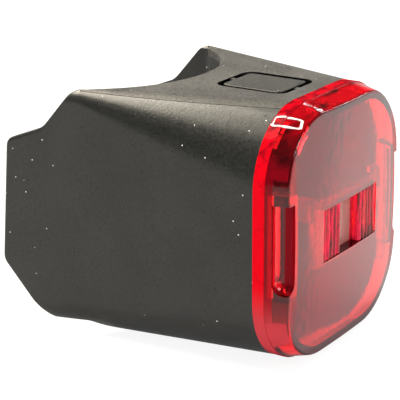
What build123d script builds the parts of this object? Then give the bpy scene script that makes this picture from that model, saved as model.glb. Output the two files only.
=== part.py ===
# Rear bicycle light with a block-shaped shell, a domed red lens and a saddle back for a seat post.
# Frame: +Z up, lens facing -Y, origin under the middle of the light on the plane it rests on.
# All sizes are in millimetres. A depth is counted rearward from the joint of lens and housing,
# and "ahead" is counted forward from it.
from build123d import *
from math import cos, radians, sin, sqrt, tan
import os

os.makedirs("parts", exist_ok=True)

# Outer shell
body_height = 42.0        # bottom to top
joint_width = 38.5        # across the joint of lens and housing
wing_spread = 41.6        # across the tips of the wings
shell_depth = 48.6        # joint to the tips of the wings
front_round = 12.2        # corner radius at the joint
shoulder_depth = 32.1     # where the top starts to slope
shoulder_round = 2.2      # top corner radius from the shoulder on
low_shoulder_round = 6.8  # bottom corner radius at the shoulder
low_tip_round = 4.0       # bottom corner radius at the wing tips
wall = 2.0                # side and bottom walls
rim_wall = 4.0            # top and bottom walls around the mouth
edge_soft = 0.6           # softened edges of the saddle and the wings

# Wing outline, seen from the side: distance before the tips, height above the base, round
keel_end = (9.7, 0.0, 3.0)
tip_low = (0.0, 10.6, 2.4)
# Upper end of the tips: distance before them, height below the top, round
tip_top = (1.8, 10.0, 1.8)
# Slope of the top: distance behind the shoulder, height below the top, round
slope_foot = (7.3, 7.1, 5.0)
slope_start = (1.1, 0.0, 3.6)

# Saddle back
saddle_centre = 43.0      # depth of the post's axis
wing_thick = 2.5          # at the tips
saddle_corner = 3.0       # round between the curve and the cheeks
saddle_wall = 2.2         # wall between the saddle and the inside
post_radius = 15.8        # largest seat post that the pad fits
pad_thick = 2.0           # rubber between the post and the cradle
cradle_thick = 1.5        # rigid cradle behind the pad
strap_gap = 2.0           # between the cradle and the saddle, for a strap
cradle_reach = 56.0       # cradle and pad to each side, degrees
cradle_height = 25.0      # cradle and pad, along the post
strap_slot = 16.4         # height of that gap
standoff_reach = 35.0     # feet of the cradle to each side, degrees
seat_gap = 0.05           # between parts that are bonded or screwed together
pad_groove_width = 0.9
pad_groove_depth = 0.5
pad_grooves = 4
cradle_screw_radius = 1.0
cradle_screw_head = 1.9
cradle_screw_cone = 0.9
cradle_boss_radius = 2.0
cradle_boss_length = 1.2
cradle_thread = 2.4       # blind hole in the housing for each cradle screw

# Lens
lens_depth = 6.9          # joint to the middle of the domed face
flange_depth = 2.0        # straight band next to the joint
flange_step = 0.15        # small step in front of the band
lens_draft = 15.5         # lean of the wall, degrees
lens_wall = 1.6
face_back = 4.9           # flat back of the face, ahead of the joint
dome_radius = 175.0
face_round = 0.6          # outer round between wall and face
scoop_radius = 2.05       # vertical scoop in each side of the lens
scoop_ahead = 5.15        # scoop axis ahead of the joint
scoop_inset = 0.7         # scoop axis inside the widest line of the lens
scoop_top = 7.5           # above the mid height
scoop_low = 7.0           # below the mid height
scoop_wall = 1.3

# Window and optic in the middle of the face
window_width = 17.6
window_height = 8.6
window_rise = 0.2         # window centre above the mid height
optic_gap = 0.1
flutes = 5                # on each side of the plain strip
flute_height = 0.35       # bulge of each round flute
flute_sink = 0.25         # flute crests below the dome
plain_half = 3.1          # half of the smooth strip between the fluted fields
plain_sink = 2.0          # smooth strip below the dome
optic_lip = 1.0           # lip behind the face
optic_lip_thick = 0.7
ear_width = 1.75
ear_height = 3.5
ear_rise = 4.7            # ear centre above the mid height
ear_thick = 1.6
ear_overlap = 0.15        # of the ears on the lip

# Inner frame, lamp board and reflector
deck_ahead = 0.8          # front of the black deck, ahead of the joint
deck_thick = 1.2
deck_gap = 0.65           # deck edge to the inside of the lens
spigot_gap = 0.25         # inner frame in the mouth of the housing
spigot_depth = 3.0
frame_wall = 1.8
mouth_depth = 3.2
seal_depth = 1.0          # front of the seal groove
seal_width = 1.0
seal_groove = 0.7
seal_fit = 0.03
board_thick = 1.2
board_gap = 0.3           # lamp board inside the frame
frame_post_x = 11.4
frame_post_clear = 0.4    # screw heads below the control board
frame_post_radius = 1.8
small_screw_radius = 0.75
small_screw_fit = 0.05
small_head_radius = 1.4
small_head_thick = 0.8
driver_radius = 0.6       # six-sided recess in the screw heads
driver_depth = 0.45
lamp_screw_length = 2.8
collar_wall = 0.8         # of the collar around the reflector
reflector_width = 17.0
reflector_height = 9.0
reflector_wall = 0.8
reflector_gap = 0.15
reflector_lip = 0.8
lamp_opening_width = 14.0
lamp_opening_height = 3.6
led_width = 3.5
led_height = 2.8
led_thick = 0.8
led_spacing = 5.0
leds_in_row = 3

# Top panel and button
panel_thick = 1.8         # at the middle of the top
panel_gap = 0.1
panel_front_half = 10.8   # parting line from the middle, at the joint
panel_mid_half = 15.4     # half way back
panel_rear_half = 19.1    # at the shoulder
floor_thick = 2.2         # wall of the housing under the panel
hook_length = 3.0
hook_thick = 1.2
hook_lip = 0.5
hook_lip_thick = 0.8
hook_fit = 0.15
hook_places = [(8.0, 9.4), (11.3, 19.5)]  # from the middle, depth
button_width = 9.0
button_length = 11.0
button_round = 1.0
button_gap = 1.0          # open groove around the button
button_depth = 9.4        # button centre behind the joint
button_lip = 0.8          # hidden flange under the panel
button_lip_thick = 0.6
button_edge = 0.25
lip_gap = 0.1
travel = 0.5              # of the button and the switch
travel_spare = 0.05
web_width = 1.0           # small webs that interrupt the groove
web_length = 0.8
web_thick = 0.8
web_sink = 0.15
stem_radius = 1.9
stem_fit = 0.08           # running clearance of the stem in its seal
button_seal_radius = 3.2

# Control board and what it carries
control_half = 11.0
control_drop = 4.2        # board top below the ceiling of the inside
control_thick = 1.0
control_front_gap = 0.3   # behind the inner frame
control_rear_gap = 1.7    # to the wall of the saddle
control_boss_radius = 1.6
control_boss_half = 9.1   # bosses from the middle
control_boss_front = 2.6  # front bosses behind the board's front end
control_boss_rear = 1.8   # rear bosses before the board's rear end
control_screw_length = 4.0
switch_size = 4.5
switch_height = 1.6
plunger_radius = 1.1
plunger_height = 0.9      # above the switch
plunger_sunk = 0.7        # inside the switch
plunger_fit = 0.08
header_width = 9.0
header_depth = 2.4
header_height = 2.4
# Chips: distance from the middle, depth behind the button's centre, width, length, height
chips = [
    (-6.0, 1.8, 4.5, 4.5, 0.9),
    (5.8, 2.1, 3.0, 3.0, 0.8),
    (5.2, -2.0, 2.6, 2.6, 1.4),
    (-5.2, -2.2, 2.4, 2.4, 0.8),
    (0.0, 5.8, 6.0, 2.2, 0.9),
]

# Cell and its leads
cell_width = 25.0
cell_room = 4.3           # above the cell, up to the control board
cell_front = 8.0          # depth of the cell's front
cell_base = 4.5           # above the base
cell_round = 1.2
cell_fit = 0.1
guard_width = 20.0
guard_length = 5.0
guard_thick = 0.8
pad_width = 10.0
pad_height = 13.0
foam_thick = 1.4
pad_fit = 0.1
rib_x = 6.0
rib_thick = 1.5
rib_stop = 5.0            # end stop above the rib
lead_radius = 0.6
lead_bend = 1.5
lead_start = 6.5          # from the middle
lead_rise = 1.75
lead_spacing = 2.0
plug_length = 3.6
plug_width = 4.6
plug_height = 2.2
plug_end = 0.0            # plug end, from the middle
socket_length = 4.0
socket_width = 5.2
socket_height = 3.0

# Charging port in the underside
port_width = 8.94
port_thick = 3.26
port_height = 7.3
port_wall = 0.3
port_fit = 0.3
port_mouth = 1.3          # mouth above the base
tongue_width = 6.7
tongue_thick = 0.7
tongue_recess = 1.3
flap_half = 6.8
flap_thick = 1.05
flap_base = 0.05          # flap face above the base
flap_front = 1.4          # depth of the flap's free end
hinge_depth = 8.2
anchor_rear = 10.2
flap_gap = 0.15
flap_round = 1.5
nub_height = 0.5          # plug of the flap inside the port
nub_fit = 0.25
peg_x = 3.5
peg_radius = 0.9
peg_height = 1.6
peg_fit = 0.05

# Worked-out sizes
joint_y = (lens_depth - shell_depth) / 2
mid_z = body_height / 2
joint_half = joint_width / 2
tip_half = wing_spread / 2
cheek_half = tip_half - wing_thick
shoulder_half = joint_half + (tip_half - joint_half) * shoulder_depth / shell_depth
draft_slope = tan(radians(lens_draft))
mouth_half_x = joint_half - wall
mouth_half_z = mid_z - rim_wall
mouth_round = front_round - wall
panel_floor = body_height - panel_thick
ceiling = panel_floor - floor_thick
pad_back = post_radius + pad_thick
cradle_back = pad_back + cradle_thick
saddle_radius = cradle_back + strap_gap
inner_saddle = saddle_radius + saddle_wall
saddle_front = saddle_centre - inner_saddle
lip_ahead = face_back - seat_gap
optic_back = lip_ahead - optic_lip_thick
collar_ahead = optic_back - optic_gap
board_front = spigot_depth - board_thick
lip_top = panel_floor - lip_gap
lip_low = lip_top - button_lip_thick
well_floor = lip_low - travel - travel_spare
control_top = ceiling - control_drop
control_low = control_top - control_thick
control_front = spigot_depth + control_front_gap
control_rear = saddle_front - control_rear_gap
control_boss_places = [
    (control_boss_half, control_front + control_boss_front),
    (control_boss_half, control_rear - control_boss_rear),
]
frame_post_z = control_low - mid_z - small_head_radius - frame_post_clear
switch_top = control_top + switch_height
plunger_top = switch_top + plunger_height
port_depth = spigot_depth + port_thick / 2
foot_height = (cradle_height - strap_slot) / 2
cradle_screw_rise = (strap_slot + foot_height) / 2
cell_rear = saddle_front - pad_fit - foam_thick
cell_thick = cell_rear - cell_front
cell_top = control_low - cell_room


def facing(depth):
    """Plane across the light at a depth behind the joint, centred at mid height, facing the lens."""
    return Plane((0, joint_y + depth, mid_z), x_dir=(1, 0, 0), z_dir=(0, -1, 0))


def level(height, depth=0.0):
    """Level plane at a height above the base, with its origin at a depth behind the joint."""
    return Plane((0, joint_y + depth, height))


def wall_inset(ahead):
    """How far the lens wall stands inside the joint outline, ahead of the joint."""
    return flange_step + max(0.0, ahead - flange_depth) * draft_slope


def section(half_x, half_z, top_round, low_round, shift=0.0):
    """Rounded outline with its own top and bottom corner radius."""
    with BuildSketch(mode=Mode.PRIVATE) as outline:
        with Locations((0, shift)):
            Rectangle(2 * half_x, 2 * half_z)
        fillet(outline.vertices().group_by(Axis.Y)[-1], top_round)
        fillet(outline.vertices().group_by(Axis.Y)[0], low_round)
    return outline.sketch


def even_section(half_x, half_z, corner):
    """Rounded outline with four like corners."""
    return section(half_x, half_z, corner, corner)


def ring_sector(outer, inner, reach):
    """Part of a flat ring around the post, centred on the side that faces the lens."""
    side, back = sin(radians(reach)), -cos(radians(reach))
    with BuildSketch(mode=Mode.PRIVATE) as sector:
        with BuildLine():
            ThreePointArc((-outer * side, outer * back), (0, -outer), (outer * side, outer * back))
            Line((outer * side, outer * back), (inner * side, inner * back))
            ThreePointArc((inner * side, inner * back), (0, -inner), (-inner * side, inner * back))
            Line((-inner * side, inner * back), (-outer * side, outer * back))
        make_face()
    return sector.sketch


def saddle_plan(grow=0.0):
    """Space between the wings, seen from above, around the post's axis."""
    back = shell_depth - saddle_centre + 1
    corner_y = -sqrt(saddle_radius**2 - cheek_half**2)
    with BuildSketch(mode=Mode.PRIVATE) as plan:
        with BuildLine():
            Polyline((-cheek_half, corner_y), (-cheek_half, back), (cheek_half, back), (cheek_half, corner_y))
            ThreePointArc((-cheek_half, corner_y), (0, -saddle_radius), (cheek_half, corner_y))
        make_face()
        fillet(plan.vertices().group_by(Axis.Y)[0], saddle_corner)
        if grow:
            offset(amount=grow)
    return plan.sketch


def panel_plan(grow=0.0):
    """Outline of the top panel, seen from above, from the joint to the shoulder."""
    with BuildSketch(mode=Mode.PRIVATE) as plan:
        with BuildLine():
            Line((-panel_front_half, 0), (panel_front_half, 0))
            ThreePointArc(
                (panel_front_half, 0), (panel_mid_half, shoulder_depth / 2), (panel_rear_half, shoulder_depth)
            )
            Line((panel_rear_half, shoulder_depth), (-panel_rear_half, shoulder_depth))
            ThreePointArc(
                (-panel_rear_half, shoulder_depth), (-panel_mid_half, shoulder_depth / 2), (-panel_front_half, 0)
            )
        make_face()
        if grow:
            offset(amount=grow)
    return plan.sketch


def both_sides(places):
    """The given places and their mirror images on the other side of the middle."""
    return [(side * x, y) for side in (-1, 1) for x, y in places]


def save(piece, name):
    """Label a finished piece and write its file."""
    piece.part.label = name
    export_step(piece.part, f"parts/{name}.step")


# Whole outer form of the shell, which the housing and the top panel share
with BuildPart() as shell_form:
    with BuildSketch(facing(0)):
        add(even_section(joint_half, mid_z, front_round))
    with BuildSketch(facing(shoulder_depth)):
        add(section(shoulder_half, mid_z, shoulder_round, low_shoulder_round))
    with BuildSketch(facing(shell_depth)):
        add(section(tip_half, mid_z, shoulder_round, low_tip_round))
    loft(ruled=True)
    side_path = [(shell_depth - before, height, corner) for before, height, corner in (keel_end, tip_low)]
    side_path += [(shell_depth - tip_top[0], body_height - tip_top[1], tip_top[2])]
    side_path += [
        (shoulder_depth + behind, body_height - drop, corner) for behind, drop, corner in (slope_foot, slope_start)
    ]
    side_points = [(joint_y - 1, 0)]
    side_points += [(joint_y + depth, height) for depth, height, corner in side_path]
    side_points += [(joint_y - 1, body_height)]
    side_rounds = [0] + [corner for depth, height, corner in side_path] + [0]
    with BuildSketch(Plane.YZ):
        with BuildLine():
            FilletPolyline(*side_points, radius=side_rounds, close=True)
        make_face()
    extrude(amount=wing_spread, both=True, mode=Mode.INTERSECT)
    with BuildSketch(level(0, saddle_centre)):
        add(saddle_plan())
    extrude(amount=body_height, mode=Mode.SUBTRACT)
    with BuildSketch(level(body_height, saddle_centre)):
        add(saddle_plan(edge_soft))
    extrude(amount=-edge_soft, taper=45, mode=Mode.SUBTRACT)
    wing_edges = shell_form.edges().filter_by(
        lambda edge: abs(edge.center().X) > shoulder_half
        and edge.bounding_box().min.Y > joint_y + shoulder_depth - edge_soft
        and edge.center().Z > tip_low[1] - tip_low[2]
        and edge.bounding_box().size.X < edge_soft
    )
    fillet(wing_edges, edge_soft)

# Hollow inside of the housing, up to the wall of the saddle
cavity_end = 27.5
with BuildPart() as cavity_form:
    for depth in (mouth_depth, cavity_end):
        share = depth / shoulder_depth
        half_x = joint_half + (shoulder_half - joint_half) * share - wall
        top_corner = front_round + (shoulder_round - front_round) * share - wall / 2
        low_corner = front_round + (low_shoulder_round - front_round) * share - wall
        top_z, low_z = ceiling - mid_z, wall - mid_z
        with BuildSketch(facing(depth)):
            add(section(half_x, (top_z - low_z) / 2, top_corner, low_corner, (top_z + low_z) / 2))
    loft(ruled=True)
    with BuildSketch(level(0, saddle_centre)):
        Circle(inner_saddle)
    extrude(amount=body_height, mode=Mode.SUBTRACT)

with BuildPart() as housing:
    add(shell_form.part)
    with BuildSketch(facing(0)):
        add(even_section(mouth_half_x, mouth_half_z, mouth_round))
    extrude(amount=-mouth_depth, mode=Mode.SUBTRACT)
    add(cavity_form.part, mode=Mode.SUBTRACT)
    # Bosses that hold the control board and the cradle's screws
    with BuildSketch(level(control_top)):
        with Locations(*both_sides(control_boss_places)):
            Circle(control_boss_radius)
    extrude(amount=ceiling - control_top)
    with BuildSketch(facing(saddle_front + saddle_wall / 2)):
        with Locations((0, cradle_screw_rise), (0, -cradle_screw_rise)):
            Circle(cradle_boss_radius)
    extrude(amount=cradle_boss_length + saddle_wall / 2)
    # Ribs under the cell, with a stop at the front
    rib_rear = cell_rear - rib_thick
    stop_front = cell_front - rib_thick - cell_fit
    with BuildSketch(Plane.YZ):
        with BuildLine():
            Polyline(
                (joint_y + stop_front, wall / 2),
                (joint_y + stop_front, cell_base + rib_stop),
                (joint_y + cell_front - cell_fit, cell_base + rib_stop),
                (joint_y + cell_front - cell_fit, cell_base - cell_fit),
                (joint_y + rib_rear, cell_base - cell_fit),
                (joint_y + rib_rear, wall / 2),
                close=True,
            )
        make_face()
    ribs = extrude(amount=rib_thick / 2, both=True, mode=Mode.PRIVATE)
    for side in (-1, 1):
        add(ribs.moved(Location((side * rib_x, 0, 0))))
    # Seat of the top panel, the well of the button and the slots of the hooks
    with BuildSketch(level(panel_floor)):
        add(panel_plan(panel_gap))
    extrude(amount=panel_thick + 1, mode=Mode.SUBTRACT)
    with BuildSketch(level(panel_floor, button_depth)):
        grow = 2 * (button_gap + button_lip + port_fit)
        RectangleRounded(button_width + grow, button_length + grow, button_round + grow / 2)
    extrude(amount=well_floor - panel_floor, mode=Mode.SUBTRACT)
    with BuildSketch(level(well_floor, button_depth)):
        Circle(button_seal_radius)
    extrude(amount=ceiling - well_floor, mode=Mode.SUBTRACT)
    with BuildSketch(level(panel_floor)):
        with Locations(*both_sides(hook_places)):
            Rectangle(hook_thick + 2 * hook_fit, hook_length + 2 * hook_fit)
    extrude(amount=-floor_thick, mode=Mode.SUBTRACT)
    # Screw holes
    with BuildSketch(level(control_top)):
        with Locations(*both_sides(control_boss_places)):
            Circle(small_screw_radius + small_screw_fit)
    extrude(amount=control_screw_length - control_thick + travel, mode=Mode.SUBTRACT)
    with BuildSketch(facing(saddle_centre - saddle_radius + 1)):
        with Locations((0, cradle_screw_rise), (0, -cradle_screw_rise)):
            Circle(cradle_screw_radius + small_screw_fit)
    extrude(amount=cradle_thread + 1, mode=Mode.SUBTRACT)
    # Opening of the charging port, with the seat of its flap and of the flap's anchor
    with BuildSketch(level(0, port_depth)):
        SlotOverall(port_width + 2 * port_fit, port_thick + 2 * port_fit)
    extrude(amount=rim_wall + port_fit, mode=Mode.SUBTRACT)
    with BuildSketch(level(0, (flap_front + anchor_rear) / 2)):
        seat_length = anchor_rear - flap_front + 2 * flap_gap
        RectangleRounded(2 * (flap_half + flap_gap), seat_length, flap_round + flap_gap)
    extrude(amount=flap_base + flap_thick + seat_gap, mode=Mode.SUBTRACT)
    with BuildSketch(level(0, (hinge_depth + flap_gap + anchor_rear) / 2)):
        with Locations((-peg_x, 0), (peg_x, 0)):
            Circle(peg_radius + peg_fit)
    extrude(amount=wall + 1, mode=Mode.SUBTRACT)
save(housing, "housing")

with BuildPart() as top_panel:
    add(shell_form.part)
    with BuildSketch(level(panel_floor)):
        add(panel_plan())
    extrude(amount=panel_thick + 1, mode=Mode.INTERSECT)
    with BuildSketch(level(panel_floor, button_depth)):
        RectangleRounded(button_width + 2 * button_gap, button_length + 2 * button_gap, button_round + button_gap)
    extrude(amount=panel_thick, mode=Mode.SUBTRACT)
    with BuildSketch(level(body_height - web_sink, button_depth)):
        web_place = button_length / 2 + button_gap - web_length / 2
        with Locations((0, -web_place), (0, web_place)):
            Rectangle(web_width, web_length)
    extrude(amount=-web_thick)
    with BuildSketch(level(panel_floor)):
        with Locations(*both_sides(hook_places)):
            Rectangle(hook_thick, hook_length)
    extrude(amount=-floor_thick - hook_fit - hook_lip_thick)
    with BuildSketch(level(ceiling - hook_fit)):
        with Locations(*both_sides([(x + hook_lip / 2, depth) for x, depth in hook_places])):
            Rectangle(hook_thick + hook_lip, hook_length)
    extrude(amount=-hook_lip_thick)
save(top_panel, "top_panel")

with BuildPart() as power_button:
    with BuildSketch(level(lip_top, button_depth)):
        RectangleRounded(button_width, button_length, button_round)
    extrude(amount=body_height - lip_top)
    fillet(power_button.faces().sort_by(Axis.Z)[-1].edges(), button_edge)
    with BuildSketch(level(lip_low, button_depth)):
        grow = 2 * (button_gap + button_lip)
        RectangleRounded(button_width + grow, button_length + grow, button_round + grow / 2)
    extrude(amount=button_lip_thick)
    with BuildSketch(level(lip_low, button_depth)):
        Circle(stem_radius)
    extrude(amount=plunger_top + seat_gap - lip_low)
save(power_button, "power_button")

with BuildPart() as button_seal:
    with BuildSketch(level(ceiling, button_depth)):
        Circle(button_seal_radius)
        Circle(stem_radius + stem_fit, mode=Mode.SUBTRACT)
    extrude(amount=well_floor - ceiling)
save(button_seal, "button_seal")


def scoop(side):
    """Vertical scoop in one side of the lens, flat at its top and round at its foot."""
    foot = (side * (joint_half - scoop_inset), joint_y - scoop_ahead, mid_z - scoop_low + scoop_radius)
    with BuildPart(mode=Mode.PRIVATE) as hollow:
        with BuildSketch(Plane(foot)):
            Circle(scoop_radius)
        extrude(amount=scoop_top + scoop_low - scoop_radius)
        with Locations(foot):
            Sphere(scoop_radius)
    return hollow.part


def scoop_block(side):
    """Flat-sided block of the lens behind a scoop, seen inside."""
    reach = scoop_radius + scoop_wall
    with BuildPart(mode=Mode.PRIVATE) as block:
        with BuildSketch(level(mid_z - scoop_low - scoop_wall, -scoop_ahead)):
            with Locations((side * (joint_half - scoop_inset), 0)):
                Rectangle(2 * reach, 2 * reach)
        extrude(amount=scoop_top + scoop_low + 2 * scoop_wall)
    return block.part


def lens_body(shrink, end, corner_cut):
    """Straight band and leaning wall of the lens, made smaller all round."""
    with BuildPart(mode=Mode.PRIVATE) as form:
        with BuildSketch(facing(0)):
            add(even_section(joint_half - corner_cut, mid_z - corner_cut, front_round - corner_cut))
        extrude(amount=flange_depth)
        with BuildSketch(facing(-flange_depth)):
            step = flange_step + shrink
            add(even_section(joint_half - step, mid_z - step, front_round - step))
        extrude(amount=end - flange_depth, taper=lens_draft)
    return form.part


with BuildPart() as lens:
    add(lens_body(0, lens_depth + 1, 0))
    with Locations((0, joint_y - lens_depth + dome_radius, mid_z)):
        Sphere(dome_radius, mode=Mode.INTERSECT)
    fillet(lens.faces().sort_by(Axis.Y)[0].edges(), face_round)
    lens_hollow = lens_body(lens_wall, face_back, flange_step + lens_wall)
    for side in (-1, 1):
        lens_hollow -= scoop_block(side)
    add(lens_hollow, mode=Mode.SUBTRACT)
    for side in (-1, 1):
        add(scoop(side), mode=Mode.SUBTRACT)
    with BuildSketch(facing(-face_back + 1)):
        with Locations((0, window_rise)):
            Rectangle(window_width, window_height)
    extrude(amount=lens_depth - face_back + 2, mode=Mode.SUBTRACT)
save(lens, "lens")

with BuildPart() as fluted_optic:
    optic_half = window_width / 2 - optic_gap
    optic_height = window_height - 2 * optic_gap
    plain_ahead = lens_depth - plain_sink
    flute_base = lens_depth - flute_sink - flute_height
    with BuildSketch(facing(-optic_back)):
        with Locations((0, window_rise)):
            Rectangle(2 * optic_half, optic_height)
    extrude(amount=plain_ahead - optic_back)
    with BuildSketch(facing(-lip_ahead)):
        with Locations((0, window_rise)):
            Rectangle(2 * (optic_half + optic_lip), optic_height + 2 * optic_lip)
    extrude(amount=-optic_lip_thick)
    with BuildSketch(facing(-lip_ahead)):
        ear_x = optic_half + optic_lip + ear_width / 2 - ear_overlap
        with Locations((-ear_x, ear_rise), (ear_x, ear_rise)):
            Rectangle(ear_width, ear_height)
    extrude(amount=-ear_thick)
    pitch = (optic_half - plain_half) / flutes
    with BuildSketch(level(mid_z + window_rise - optic_height / 2)) as flute_plan:
        with BuildLine():
            Polyline((optic_half, -flute_base), (optic_half, -plain_ahead), (plain_half, -plain_ahead),
                     (plain_half, -flute_base))
            for number in range(flutes):
                start = plain_half + number * pitch
                ThreePointArc(
                    (start, -flute_base), (start + pitch / 2, -flute_base - flute_height),
                    (start + pitch, -flute_base)
                )
        make_face()
        mirror(about=Plane.YZ)
    extrude(amount=optic_height)
save(fluted_optic, "fluted_optic")

deck_inset = wall_inset(deck_ahead) + lens_wall + deck_gap
deck_half_x, deck_half_z = joint_half - deck_inset, mid_z - deck_inset
spigot_half_x, spigot_half_z = mouth_half_x - spigot_gap, mouth_half_z - spigot_gap
spigot_round = mouth_round - spigot_gap
post_places = [(x, z) for x in (-frame_post_x, frame_post_x) for z in (-frame_post_z, frame_post_z)]

with BuildPart() as inner_frame:
    with BuildSketch(facing(0)):
        add(even_section(deck_half_x, deck_half_z, front_round - deck_inset))
    extrude(amount=deck_ahead)
    with BuildSketch(facing(0)):
        add(even_section(spigot_half_x, spigot_half_z, spigot_round))
    extrude(amount=-spigot_depth)
    with BuildSketch(facing(spigot_depth)):
        add(even_section(spigot_half_x - frame_wall, spigot_half_z - frame_wall, spigot_round - frame_wall))
    extrude(amount=spigot_depth + deck_ahead - deck_thick, mode=Mode.SUBTRACT)
    lamp_x, lamp_z = reflector_width + 2 * reflector_gap, reflector_height + 2 * reflector_gap
    with BuildSketch(facing(-collar_ahead)):
        Rectangle(lamp_x + 2 * collar_wall, lamp_z + 2 * collar_wall)
    extrude(amount=-(board_front + collar_ahead - reflector_lip - seat_gap))
    with BuildSketch(facing(board_front)):
        with Locations(*post_places):
            Circle(frame_post_radius)
    extrude(amount=board_front + deck_ahead - deck_thick)
    with BuildSketch(facing(spigot_depth)):
        Rectangle(lamp_x, lamp_z)
    extrude(amount=spigot_depth + collar_ahead, mode=Mode.SUBTRACT)
    with BuildSketch(facing(board_front)):
        with Locations(*post_places):
            Circle(small_screw_radius + small_screw_fit)
    extrude(amount=lamp_screw_length - board_thick + travel, mode=Mode.SUBTRACT)
    with BuildSketch(facing(seal_depth + seal_width)):
        add(even_section(spigot_half_x + 1, spigot_half_z + 1, spigot_round + 1))
        groove_x, groove_z = spigot_half_x - seal_groove, spigot_half_z - seal_groove
        add(even_section(groove_x, groove_z, spigot_round - seal_groove), mode=Mode.SUBTRACT)
    extrude(amount=seal_width, mode=Mode.SUBTRACT)
save(inner_frame, "inner_frame")

with BuildPart() as frame_seal:
    with BuildSketch(facing(seal_depth + seal_width - seal_fit)):
        add(even_section(mouth_half_x - seal_fit, mouth_half_z - seal_fit, mouth_round - seal_fit))
        inner = seal_groove - seal_fit
        add(
            even_section(spigot_half_x - inner, spigot_half_z - inner, spigot_round - inner),
            mode=Mode.SUBTRACT,
        )
    extrude(amount=seal_width - 2 * seal_fit)
save(frame_seal, "frame_seal")

with BuildPart() as led_reflector:
    back = board_front - seat_gap
    with BuildSketch(facing(back)):
        Rectangle(reflector_width, reflector_height)
    extrude(amount=back + collar_ahead)
    with BuildSketch(facing(back)):
        Rectangle(reflector_width + 2 * reflector_lip, reflector_height + 2 * reflector_lip)
    extrude(amount=reflector_lip)
    with BuildSketch(facing(back)):
        Rectangle(lamp_opening_width, lamp_opening_height)
    with BuildSketch(facing(-collar_ahead)):
        Rectangle(reflector_width - 2 * reflector_wall, reflector_height - 2 * reflector_wall)
    loft(ruled=True, mode=Mode.SUBTRACT)
save(led_reflector, "led_reflector")

with BuildPart() as led_board:
    inset = frame_wall + board_gap
    with BuildSketch(facing(spigot_depth)):
        add(even_section(spigot_half_x - inset, spigot_half_z - inset, spigot_round - inset))
        with Locations(*post_places):
            Circle(small_screw_radius + 2 * small_screw_fit, mode=Mode.SUBTRACT)
    extrude(amount=board_thick)
save(led_board, "led_board")

with BuildPart() as leds:
    with BuildSketch(facing(board_front)):
        with GridLocations(led_spacing, 0, leds_in_row, 1):
            Rectangle(led_width, led_height)
    extrude(amount=led_thick)
save(leds, "leds")

with BuildPart() as led_board_screws:
    with BuildSketch(facing(spigot_depth + small_head_thick)):
        with Locations(*post_places):
            Circle(small_head_radius)
    extrude(amount=small_head_thick)
    with BuildSketch(facing(spigot_depth)):
        with Locations(*post_places):
            Circle(small_screw_radius)
    extrude(amount=lamp_screw_length)
    with BuildSketch(facing(spigot_depth + small_head_thick)):
        with Locations(*post_places):
            RegularPolygon(driver_radius, 6)
    extrude(amount=driver_depth, mode=Mode.SUBTRACT)
save(led_board_screws, "led_board_screws")

with BuildPart() as control_board:
    with BuildSketch(level(control_low)):
        with Locations((0, (control_front + control_rear) / 2)):
            Rectangle(2 * control_half, control_rear - control_front)
        with Locations(*both_sides(control_boss_places)):
            Circle(small_screw_radius + 2 * small_screw_fit, mode=Mode.SUBTRACT)
    extrude(amount=control_thick)
save(control_board, "control_board")

with BuildPart() as board_screws:
    with BuildSketch(level(control_low - small_head_thick)):
        with Locations(*both_sides(control_boss_places)):
            Circle(small_head_radius)
    extrude(amount=small_head_thick)
    with BuildSketch(level(control_low)):
        with Locations(*both_sides(control_boss_places)):
            Circle(small_screw_radius)
    extrude(amount=control_screw_length)
    with BuildSketch(level(control_low - small_head_thick)):
        with Locations(*both_sides(control_boss_places)):
            RegularPolygon(driver_radius, 6)
    extrude(amount=driver_depth, mode=Mode.SUBTRACT)
save(board_screws, "board_screws")

with BuildPart() as board_chips:
    for x, depth, width, length, height in chips:
        with BuildSketch(level(control_top, button_depth + depth)):
            with Locations((x, 0)):
                Rectangle(width, length)
        extrude(amount=height)
save(board_chips, "board_chips")

with BuildPart() as board_header:
    with BuildSketch(level(control_top, spigot_depth + header_depth / 2)):
        Rectangle(header_width, header_depth)
    extrude(amount=header_height)
save(board_header, "board_header")

with BuildPart() as tact_switch:
    with BuildSketch(level(control_top, button_depth)):
        Rectangle(switch_size, switch_size)
    extrude(amount=switch_height)
    with BuildSketch(level(switch_top, button_depth)):
        Circle(plunger_radius + plunger_fit)
    extrude(amount=-plunger_sunk - travel - travel_spare, mode=Mode.SUBTRACT)
save(tact_switch, "tact_switch")

with BuildPart() as switch_plunger:
    with BuildSketch(level(switch_top - plunger_sunk, button_depth)):
        Circle(plunger_radius)
    extrude(amount=plunger_sunk + plunger_height)
save(switch_plunger, "switch_plunger")

with BuildPart() as battery_cell:
    with BuildSketch(level(cell_base, cell_front + cell_thick / 2)):
        Rectangle(cell_width, cell_thick)
    extrude(amount=cell_top - cell_base)
    fillet(battery_cell.edges().filter_by(Axis.Z), cell_round)
save(battery_cell, "battery_cell")

with BuildPart() as cell_guard:
    with BuildSketch(level(cell_top, cell_front + cell_thick / 2)):
        Rectangle(guard_width, guard_length)
    extrude(amount=guard_thick)
save(cell_guard, "cell_guard")

with BuildPart() as battery_pad:
    with BuildSketch(facing(cell_rear)):
        Rectangle(pad_width, pad_height)
    extrude(amount=-foam_thick)
save(battery_pad, "battery_pad")

lead_middle = cell_front + cell_thick / 2
lead_height = cell_top + guard_thick + lead_rise
lead_depths = [lead_middle - lead_spacing / 2, lead_middle + lead_spacing / 2]

with BuildPart() as battery_leads:
    for depth in lead_depths:
        y = joint_y + depth
        route = [
            (lead_start, y, cell_top + guard_thick),
            (lead_start, y, lead_height),
            (plug_end, y, lead_height),
        ]
        with BuildLine():
            FilletPolyline(*route, radius=lead_bend)
        with BuildSketch(Plane(route[0])):
            Circle(lead_radius)
        sweep()
save(battery_leads, "battery_leads")

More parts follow.
